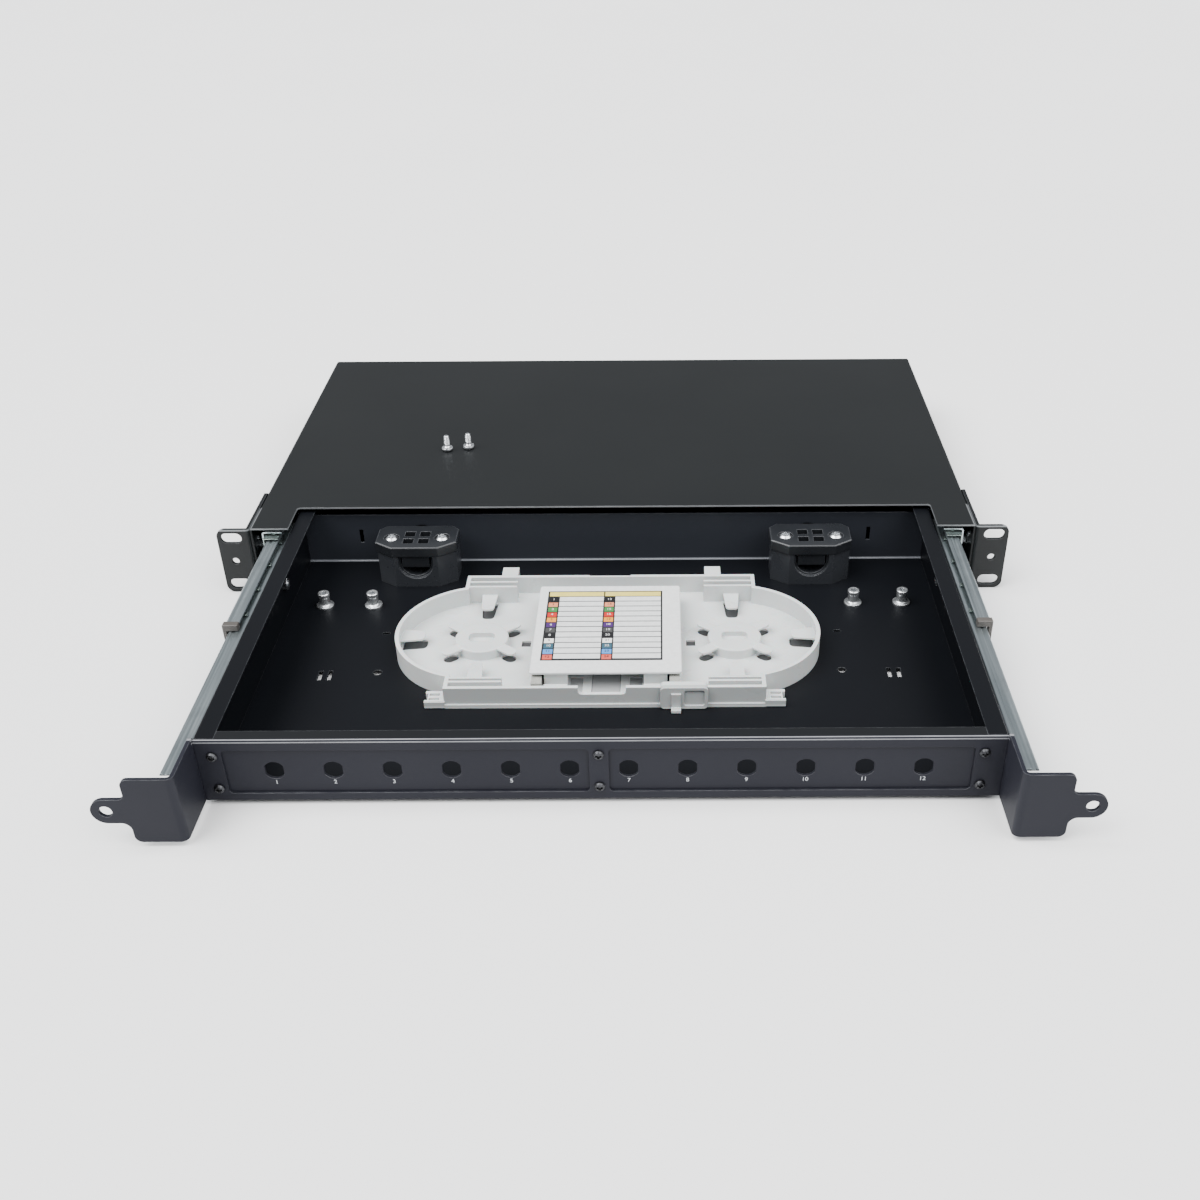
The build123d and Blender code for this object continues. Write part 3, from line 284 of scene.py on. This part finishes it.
def printed(name, colour, rough=0.42):
    """Ink on a glossy label, slightly mottled."""
    t = Tree(name)
    normal = t.add("ShaderNodeNewGeometry").outputs["Normal"]
    pale = tuple(min(1.0, v * 1.12 + 0.003) for v in colour)
    ink = t.mix(t.spread(t.noise(420, 3), 0, 1), colour, pale)
    t.bump(t.noise(900, 2), 0.02 * MM, 0.15, normal)
    return t.finish(ink, t.spread(t.noise(70, 3), rough - 0.05, rough + 0.08),
                    Specular_IOR_Level=0.25)


SHEET = 1.2 * MM                                             # steel of the case and the drawer
FLOOR_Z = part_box("anchor_posts")[0].z + SHEET                # upper face of the drawer's floor
BACK_WALL_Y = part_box("drawer_floor")[1].y - 1.6 * MM         # just before the drawer's back wall
NOTCH_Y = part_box("case_cover")[0].y + 27.0 * MM              # rear edge of the cover's cut-out
COVER_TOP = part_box("case_cover")[1].z
FRONT_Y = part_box("drawer_front")[0].y
FRONT_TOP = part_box("drawer_front")[1].z
TRAY_FRONT_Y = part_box("splice_tray")[0].y
ALL = 1                                                      # further than any side of the part

# Zones are their two depths and two heights: y0, y1, z0, z1
# Painted highlight lines: along the cover's cut-out edge, and along the floor's bend into the back
# wall.
COVER_EDGE_GLINT = (-ALL, NOTCH_Y + 0.3 * MM, COVER_TOP - 1.1 * MM, COVER_TOP - 0.1 * MM)
FLOOR_BEND_GLINT = (BACK_WALL_Y - 0.9 * MM, BACK_WALL_Y + 0.4 * MM, FLOOR_Z - 0.1 * MM,
              FLOOR_Z + 1.0 * MM)
# Painted light: the drawer's back wall is coloured paler than the rest of its coat.
LIT_BACK_WALL = (BACK_WALL_Y, ALL, -ALL, ALL)
# Painted highlight lines along the front's top edge and a little below it.
FRONT_BEND_GLINT = (FRONT_Y - 1 * MM, FRONT_Y + 0.7 * MM, FRONT_TOP - 0.3 * MM, FRONT_TOP + 1 * MM)
FRONT_GLINT = (FRONT_Y - 1 * MM, FRONT_Y + 0.1 * MM, FRONT_TOP - 1.9 * MM, FRONT_TOP - 1.2 * MM)
# Painted shade: the front's top flange is coloured darker than the face of the same sheet.
SHADED_FRONT_FLANGE = (FRONT_Y + 1.0 * MM, ALL, FRONT_TOP - 0.3 * MM, ALL)
# Painted shade: the tray's front wall is coloured darker than the rest of the tray.
SHADED_TRAY_WALL = (-ALL, TRAY_FRONT_Y + 1.2 * MM, FLOOR_Z + 1.6 * MM, ALL)

# The case's coat has a painted highlight line along the cover's cut-out edge.
COAT_CASE = powder_coat(
    "case_coat", dark=(0.0045, 0.0054, 0.0060), light=(0.0056, 0.0066, 0.0072),
    edge_highlight=(0.090, 0.097, 0.105), rough=0.46, shine=0.29, gleam=(0.20, 0.21, 0.22),
    glint_zones=[COVER_EDGE_GLINT])
# The drawer's coat: a painted highlight line at the floor's bend, painted light on the back wall.
COAT_DRAWER = powder_coat(
    "drawer_coat", dark=(0.0034, 0.0039, 0.0053), light=(0.0042, 0.0048, 0.0063),
    edge_highlight=(0.075, 0.082, 0.092), rough=0.42, shine=0.12, gleam=(0.16, 0.17, 0.19),
    glint_zones=[FLOOR_BEND_GLINT], part=(LIT_BACK_WALL, (0.0270, 0.0300, 0.0375)))
# The front's coat: painted highlight lines along its top edge, painted shade on its top flange.
COAT_FRONT = powder_coat(
    "front_coat", dark=(0.0105, 0.0110, 0.0165), light=(0.0122, 0.0128, 0.0188),
    edge_highlight=(0.120, 0.124, 0.136), rough=0.52, shine=0.17, gleam=(0.20, 0.205, 0.22),
    glint_zones=[FRONT_BEND_GLINT, FRONT_GLINT], part=(SHADED_FRONT_FLANGE, (0.0062, 0.0070, 0.0082)))
ZINC_SLIDE = rolled_zinc(
    "slide_zinc", dark=(0.40, 0.46, 0.48), light=(0.55, 0.61, 0.63), rough=0.34,
    streak=(700, 9, 700))
ZINC_SCREW = rolled_zinc(
    "screw_zinc", dark=(0.66, 0.68, 0.70), light=(0.85, 0.87, 0.89), rough=0.28,
    streak=(500, 500, 500))
# Painted shade: a darker zinc for the ball cages, which sit in the gap under the slides' middle
# members.
SHADED_CAGE_ZINC = rolled_zinc(
    "cage_zinc_shaded", dark=(0.26, 0.31, 0.29), light=(0.42, 0.48, 0.45), rough=0.30,
    streak=(90, 90, 90))
DARK_SCREW = rolled_zinc(
    "dark_screw", dark=(0.045, 0.046, 0.050), light=(0.085, 0.086, 0.092), rough=0.38,
    streak=(500, 500, 500))
BRIGHT_POST = rolled_zinc(
    "post_zinc", dark=(0.66, 0.68, 0.70), light=(0.86, 0.88, 0.89), rough=0.28,
    streak=(300, 300, 300), metal=0.92)
# The tray's plastic: painted shade on its front wall, painted highlight on upper edges.
WHITE_TRAY = moulded(
    "tray_plastic", dark=(0.54, 0.565, 0.565), light=(0.61, 0.63, 0.625), rim_highlight=(0.82, 0.84, 0.84),
    rough=0.30, radius=0.6 * MM, grain=600, skin=0.20, part=(SHADED_TRAY_WALL, (0.405, 0.425, 0.425)))
BLACK_CLAMP = moulded(
    "clamp_plastic", dark=(0.0215, 0.0235, 0.0275), light=(0.0285, 0.0308, 0.0355),
    rim_highlight=(0.13, 0.135, 0.145), rough=0.28, radius=0.6 * MM, grain=1300)
# Painted shade: a darker copy of the clamp plastic for the up-facing clamp covers.
SHADED_CLAMP_LID = moulded(
    "clamp_lid_shaded", dark=(0.0105, 0.0118, 0.0140), light=(0.0140, 0.0154, 0.0180),
    rim_highlight=(0.12, 0.125, 0.135), rough=0.30, radius=0.6 * MM, grain=1300)
FOAM = foam_strip("foam", dark=(0.20, 0.20, 0.185), light=(0.31, 0.31, 0.285))
CARD = printed("label_card", (0.63, 0.64, 0.64), rough=0.38)
# Painted shade: sheets in the tray's openings, grey in front of the label cover and darker further
# out.
GREY_SHADE_SHEET = moulded(
    "painted_shade_grey", dark=(0.31, 0.318, 0.322), light=(0.36, 0.368, 0.372),
    rim_highlight=(0.46, 0.47, 0.475), rough=0.40, radius=0.3 * MM, grain=700)
DARK_SHADE_SHEET = moulded(
    "painted_shade_dark", dark=(0.040, 0.041, 0.043), light=(0.052, 0.054, 0.056),
    rim_highlight=(0.09, 0.09, 0.095), rough=0.45, radius=0.3 * MM, grain=700)
BUMPER = moulded(
    "bumper_plastic", dark=(0.055, 0.050, 0.046), light=(0.075, 0.068, 0.062),
    rim_highlight=(0.10, 0.09, 0.085), rough=0.45, radius=0.4 * MM, grain=1100)


def nodes_called(*starts):
    """The names of the CAD nodes that start with one of some words."""
    return [name for name in nodes if name.startswith(starts)]


FINISHES = {
    COAT_CASE: ["case_cover", "case_base", "rack_ear_left", "rack_ear_right"],
    COAT_DRAWER: ["drawer_floor", "drawer_side_left", "drawer_side_right"],
    COAT_FRONT: ["drawer_front", "adapter_plate", "drawer_ear_left", "drawer_ear_right"],
    ZINC_SLIDE: nodes_called("slide_outer", "slide_middle", "slide_inner"),
    SHADED_CAGE_ZINC: nodes_called("ball_cage"),
    ZINC_SCREW: ["ear_screws", "locking_screws", "slide_spacers", "slide_rivets", "slide_screws",
                 "slide_nuts", "slide_washers", "leg_screws", "clamp_screws", "tray_screws"],
    BRIGHT_POST: ["anchor_posts"],
    DARK_SCREW: ["cover_screws", "front_screws"],
    BLACK_CLAMP: ["clamp_body_left", "clamp_body_right"],
    SHADED_CLAMP_LID: ["clamp_cover_left", "clamp_cover_right"],
    WHITE_TRAY: ["splice_tray", "splice_holder", "tray_latch"],
    FOAM: ["splice_pads"],
    BUMPER: nodes_called("slide_bumper"),
    CARD: ["splice_cover"],
}


def dress_nodes():
    """Gives every CAD node its finish."""
    for material, names in FINISHES.items():
        for name in names:
            piece = nodes[name]
            if not piece.material_slots:
                piece.data.materials.append(material)
            for place in piece.material_slots:
                place.material = material


# Pieces that the CAD leaves to the scene

INK = 0.06 * MM                  # how far print stands on its surface
NUMERAL_HEIGHT = 0.72            # share of the letter size that a numeral is high


def finished_mesh(form, name, materials):
    """Turns a bmesh into a mesh with its materials."""
    mesh = bpy.data.meshes.new(name)
    form.to_mesh(mesh)
    form.free()
    for material in materials:
        mesh.materials.append(material)
    return mesh


def piece_from(name, form, materials, body):
    """Turns a bmesh into a new piece that rides on a body."""
    piece = bpy.data.objects.new(name, finished_mesh(form, name, materials))
    bpy.context.collection.objects.link(piece)
    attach(piece, body)


def add_box(form, x0, x1, y0, y1, z0, z1, index):
    """Adds a box to a bmesh, with a material index."""
    size = Vector((x1 - x0, y1 - y0, z1 - z0))
    middle = Vector((x0 + x1, y0 + y1, z0 + z1)) / 2
    place = Matrix.Translation(middle) @ Matrix.Diagonal((*size, 1))
    corners = bmesh.ops.create_cube(form, size=1.0, matrix=place)["verts"]
    for face in {face for corner in corners for face in corner.link_faces}:
        face.material_index = index


def add_number(form, number, height, place, index=0):
    """Adds a raised number to a bmesh; place puts its centre and turns it."""
    data = bpy.data.curves.new("numeral", "FONT")
    data.body = str(number)
    data.size = height / NUMERAL_HEIGHT
    data.extrude = INK / 2
    data.align_x = "CENTER"
    data.align_y = "CENTER"
    text = bpy.data.objects.new("numeral", data)
    bpy.context.collection.objects.link(text)
    bpy.context.view_layer.update()
    drawn = text.evaluated_get(bpy.context.evaluated_depsgraph_get())
    mesh = bpy.data.meshes.new_from_object(drawn)
    mesh.transform(place)
    known = len(form.faces)
    form.from_mesh(mesh)
    form.faces.ensure_lookup_table()
    for face in form.faces[known:]:
        face.material_index = index
    bpy.data.objects.remove(text)
    bpy.data.curves.remove(data)
    bpy.data.meshes.remove(mesh)


def port_numbers():
    """White numerals under the adapter plate's holes."""
    ports = 12
    pitch = 29.0 * MM
    shift = -1.3 * MM            # the row's place beside the plate's middle
    drop = 8.0 * MM              # numerals' centre below the plate's middle
    height = 2.4 * MM
    low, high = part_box("adapter_plate")
    z = (low.z + high.z) / 2 - drop
    facing = Matrix.Rotation(math.radians(90), 4, "X")
    form = bmesh.new()
    for port in range(ports):
        x = (port - (ports - 1) / 2) * pitch + shift
        place = Matrix.Translation((x, low.y - INK / 2, z)) @ facing
        add_number(form, port + 1, height, place)
    ink = printed("white_ink", (0.50, 0.52, 0.54), rough=0.5)
    piece_from("port_numbers", form, [ink], "drawer")


PRINT_COLOURS = [
    ("black", (0.014, 0.014, 0.015)), ("yellow", (0.62, 0.52, 0.13)),
    ("white", (0.60, 0.61, 0.61)), ("grey", (0.035, 0.037, 0.040)),
]
BLACK, YELLOW, WHITE, GREY = range(len(PRINT_COLOURS))
FIBRE_COLOURS = [
    ("black", (0.010, 0.010, 0.011)), ("peach", (0.58, 0.21, 0.11)),
    ("green", (0.042, 0.18, 0.050)), ("red", (0.44, 0.026, 0.017)),
    ("orange", (0.64, 0.25, 0.032)), ("purple", (0.055, 0.021, 0.110)),
    ("grey", (0.050, 0.050, 0.050)), ("ebony", (0.011, 0.011, 0.012)),
    ("white", (0.70, 0.70, 0.68)), ("slate", (0.032, 0.082, 0.115)),
    ("blue", (0.075, 0.23, 0.52)), ("rose", (0.50, 0.085, 0.062)),
]
DARK_FIELDS = ("black", "green", "red", "purple", "grey", "ebony", "slate")


def fibre_label():
    """The splice cover's colour table: a frame, a header, twelve rows and two columns of fields."""
    low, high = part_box("splice_cover")
    x0 = low.x + 5.2 * MM
    x1 = high.x - 10.6 * MM
    y0 = low.y + 11.6 * MM
    y1 = high.y - 6.2 * MM
    border = 1.0 * MM
    line = 0.8 * MM
    header = 5.6 * MM
    field = 5.4 * MM             # width of a coloured field
    height = 2.0 * MM            # of a number
    rows = len(FIBRE_COLOURS)
    row = (y1 - y0 - 2 * border - header) / rows
    half = (x1 - x0 - 2 * border) / 2
    materials = [printed("print_" + name, colour) for name, colour in PRINT_COLOURS]
    materials += [printed("fibre_" + name, colour) for name, colour in FIBRE_COLOURS]
    form = bmesh.new()

    def layer(a, b, c, d, step, index):
        """A rectangle that stands so many steps of ink on the cover."""
        add_box(form, a, b, c, d, high.z, high.z + step * INK, index)

    layer(x0, x1, y0, y1, 1, BLACK)
    top = y1 - border - header
    for column in range(2):
        left = x0 + border + column * half
        right = left + half - (0 if column else line)
        layer(left, right, top + line, y1 - border, 2, YELLOW)
        for i, (name, _) in enumerate(FIBRE_COLOURS):
            upper = top - i * row
            lower = upper - row
            layer(left, left + field, lower, upper - line, 2, len(PRINT_COLOURS) + i)
            layer(left + field + line, right, lower, upper, 2, GREY)
            layer(left + field + line, right, lower + line, upper, 3, WHITE)
            middle = (left + field / 2, (lower + upper) / 2, high.z + 2.5 * INK)
            add_number(form, column * rows + i + 1, height, Matrix.Translation(middle),
                       WHITE if name in DARK_FIELDS else BLACK)
    piece_from("fibre_label", form, materials, "drawer")


def floor_openings(name):
    """Outlines of the openings in a piece's underside, as faces of a bmesh."""
    weld = 0.002 * MM
    form = bmesh.new()
    form.from_mesh(nodes[name].data)
    form.transform(nodes[name].matrix_world)
    bmesh.ops.remove_doubles(form, verts=form.verts, dist=weld)
    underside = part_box(name)[0].z + 0.01 * MM
    above = [face for face in form.faces if max(vert.co.z for vert in face.verts) > underside]
    bmesh.ops.delete(form, geom=above, context="FACES")
    rims = [edge for edge in form.edges if edge.is_boundary]
    bmesh.ops.delete(form, geom=list(form.faces), context="FACES_ONLY")
    bmesh.ops.edgeloop_fill(form, edges=rims)
    return form


def tray_underlay():
    """Sheets in the openings of the tray's floor, coloured as painted shade of the floor seen
    through them.

    They are grey in the openings in front of the label cover, thinner and darker further out.
    """
    z0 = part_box("splice_tray")[0].z + 0.02 * MM
    grey_to = 25.0 * MM          # from the middle, to either side
    thick, thin = 1.1 * MM, 0.3 * MM
    fit = 0.96                   # size of a sheet as a share of its opening
    smallest, largest = 20, 550  # mm²: neither a screw hole nor a hub's hollow
    outlines = floor_openings("splice_tray")
    form = bmesh.new()
    for face in outlines.faces:
        if not smallest < face.calc_area() / MM ** 2 < largest:
            continue
        middle = face.calc_center_bounds()
        far = abs(middle.x) > grey_to
        z1 = z0 + (thin if far else thick)
        spots = [middle + (vert.co - middle) * fit for vert in face.verts]
        lower = [form.verts.new((spot.x, spot.y, z0)) for spot in spots]
        upper = [form.verts.new((spot.x, spot.y, z1)) for spot in spots]
        sides = [form.faces.new((lower[i - 1], lower[i], upper[i], upper[i - 1]))
                 for i in range(len(spots))]
        for side in sides + [form.faces.new(lower), form.faces.new(upper)]:
            side.material_index = int(far)
    outlines.free()
    bmesh.ops.recalc_face_normals(form, faces=form.faces)
    piece_from("tray_underlay", form, [GREY_SHADE_SHEET, DARK_SHADE_SHEET], "drawer")


def thread(name, axis, z0, z1):
    """A screw thread: a small ridge wound round a vertical shank, fading out at both ends."""
    radius = 1.7 * MM
    depth = 0.28 * MM
    pitch = 0.7 * MM
    sunk = 0.04 * MM             # the ridge's feet inside the shank
    half = pitch * 0.42          # half the ridge's height
    steps = 16                   # to a turn
    turns = (z1 - z0 - pitch) / pitch
    count = int(turns * steps)
    form = bmesh.new()
    rings = []
    for i in range(count + 1):
        angle = 2 * math.pi * i / steps
        z = z0 + pitch * 0.5 + i * pitch / steps
        fade = min(1.0, i / steps, (count - i) / steps)
        ring = []
        for out, lift in ((-sunk, -half), (depth * fade, 0), (-sunk, half)):
            x = axis[0] + (radius + out) * math.cos(angle)
            y = axis[1] + (radius + out) * math.sin(angle)
            ring.append(form.verts.new((x, y, z + lift)))
        rings.append(ring)
    for near, far in zip(rings, rings[1:]):
        for k in range(3):
            form.faces.new((near[k], far[k], far[(k + 1) % 3], near[(k + 1) % 3]))
    form.faces.new(rings[0])
    form.faces.new(reversed(rings[-1]))
    bmesh.ops.recalc_face_normals(form, faces=form.faces)
    piece_from(name, form, [ZINC_SCREW], "case")


def locking_screw_threads():
    """Threads of the two loose locking screws, which stand on their heads."""
    low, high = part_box("locking_screws")
    head = 3.8 * MM              # radius of a head
    z0 = low.z + 3.6 * MM        # above the head
    z1 = high.z - 0.4 * MM       # below the end's chamfer
    thread("locking_thread_left", (low.x + head, low.y + head), z0, z1)
    thread("locking_thread_right", (high.x - head, high.y - head), z0, z1)


# Floor and light

FLOOR_HALF = 40.0                # half the floor's width, far enough for its edge to stay unseen
FLOOR_GAP = 0.2 * MM             # below the part
SKY_COLOUR = (0.93, 0.96, 1.0)
SKY_STRENGTH = 0.45
# Name, direction it comes from, spread in degrees and strength
LIGHTS = [("key", (-0.58, -0.17, 0.95), 50, 5.9), ("fill", (0.60, -0.26, 0.88), 65, 4.3)]


def make_stage():
    """A plain pale floor and soft studio light."""
    form = bmesh.new()
    bmesh.ops.create_grid(form, x_segments=1, y_segments=1, size=FLOOR_HALF)
    floor = bpy.data.objects.new("floor", finished_mesh(form, "floor", []))
    floor.location = (0, 0, cad_box[0].z - FLOOR_GAP)
    bpy.context.collection.objects.link(floor)
    t = Tree("floor_paint")
    colour = t.mix(t.noise(3, 2), (0.88, 0.88, 0.88), (0.90, 0.90, 0.90))
    t.finish(colour, t.spread(t.noise(2, 2), 0.6, 0.7))
    floor.data.materials.append(t.material)
    world = bpy.data.worlds.new("studio")
    world.use_nodes = True
    sky = world.node_tree.nodes["Background"]
    sky.inputs["Color"].default_value = (*SKY_COLOUR, 1)
    sky.inputs["Strength"].default_value = SKY_STRENGTH
    bpy.context.scene.world = world
    for name, at, spread, power in LIGHTS:
        data = bpy.data.lights.new(name, "SUN")
        data.angle = math.radians(spread)
        data.energy = power
        light = bpy.data.objects.new(name, data)
        light.rotation_euler = (-Vector(at)).to_track_quat("-Z", "Y").to_euler()
        bpy.context.collection.objects.link(light)


make_camera()
dress_nodes()
port_numbers()
fibre_label()
tray_underlay()
locking_screw_threads()
make_stage()
